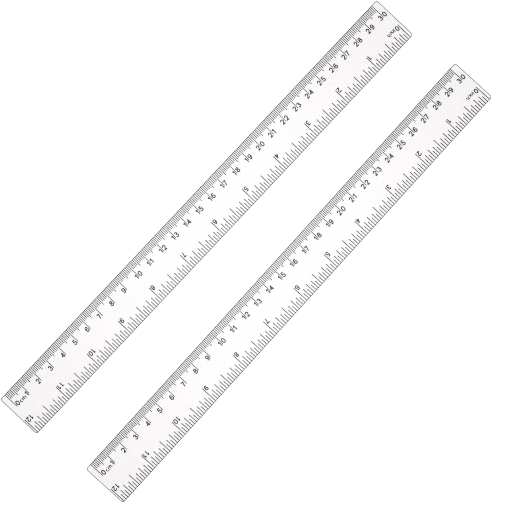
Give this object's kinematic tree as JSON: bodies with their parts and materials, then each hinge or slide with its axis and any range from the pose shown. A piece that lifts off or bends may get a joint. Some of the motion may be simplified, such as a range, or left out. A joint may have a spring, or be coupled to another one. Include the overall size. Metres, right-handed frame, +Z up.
{
  "type": "straight rulers",
  "caption": "Clear plastic straight rulers laid side by side, each a thin flat blade with a centimetre scale on one long edge and an inch scale on the other.",
  "frame": {"origin": "middle of the box around both rulers, at table height", "axes": "+X along the rear ruler from its 0 cm end to its 30 cm end, +Y across it towards its centimetre edge and away from the front ruler, +Z up from the table"},
  "size_m": [0.313, 0.09, 0.0022],
  "materials": {
    "clear_plastic": "clear moulded polystyrene, polished faces, softly rounded rims",
    "black_ink": "black printed scale marks and numerals on the underside of each blade"
  },
  "bodies": {
    "rear_ruler": {"rear_ruler": "clear_plastic"},
    "front_ruler": {"front_ruler": "clear_plastic"}
  },
  "joints": [
    {"name": "front_ruler_slide", "type": "slide", "parent": "rear_ruler", "child": "front_ruler", "axis": [0, 1, 0], "range_m": [-0.06, 0.0275]}
  ]
}
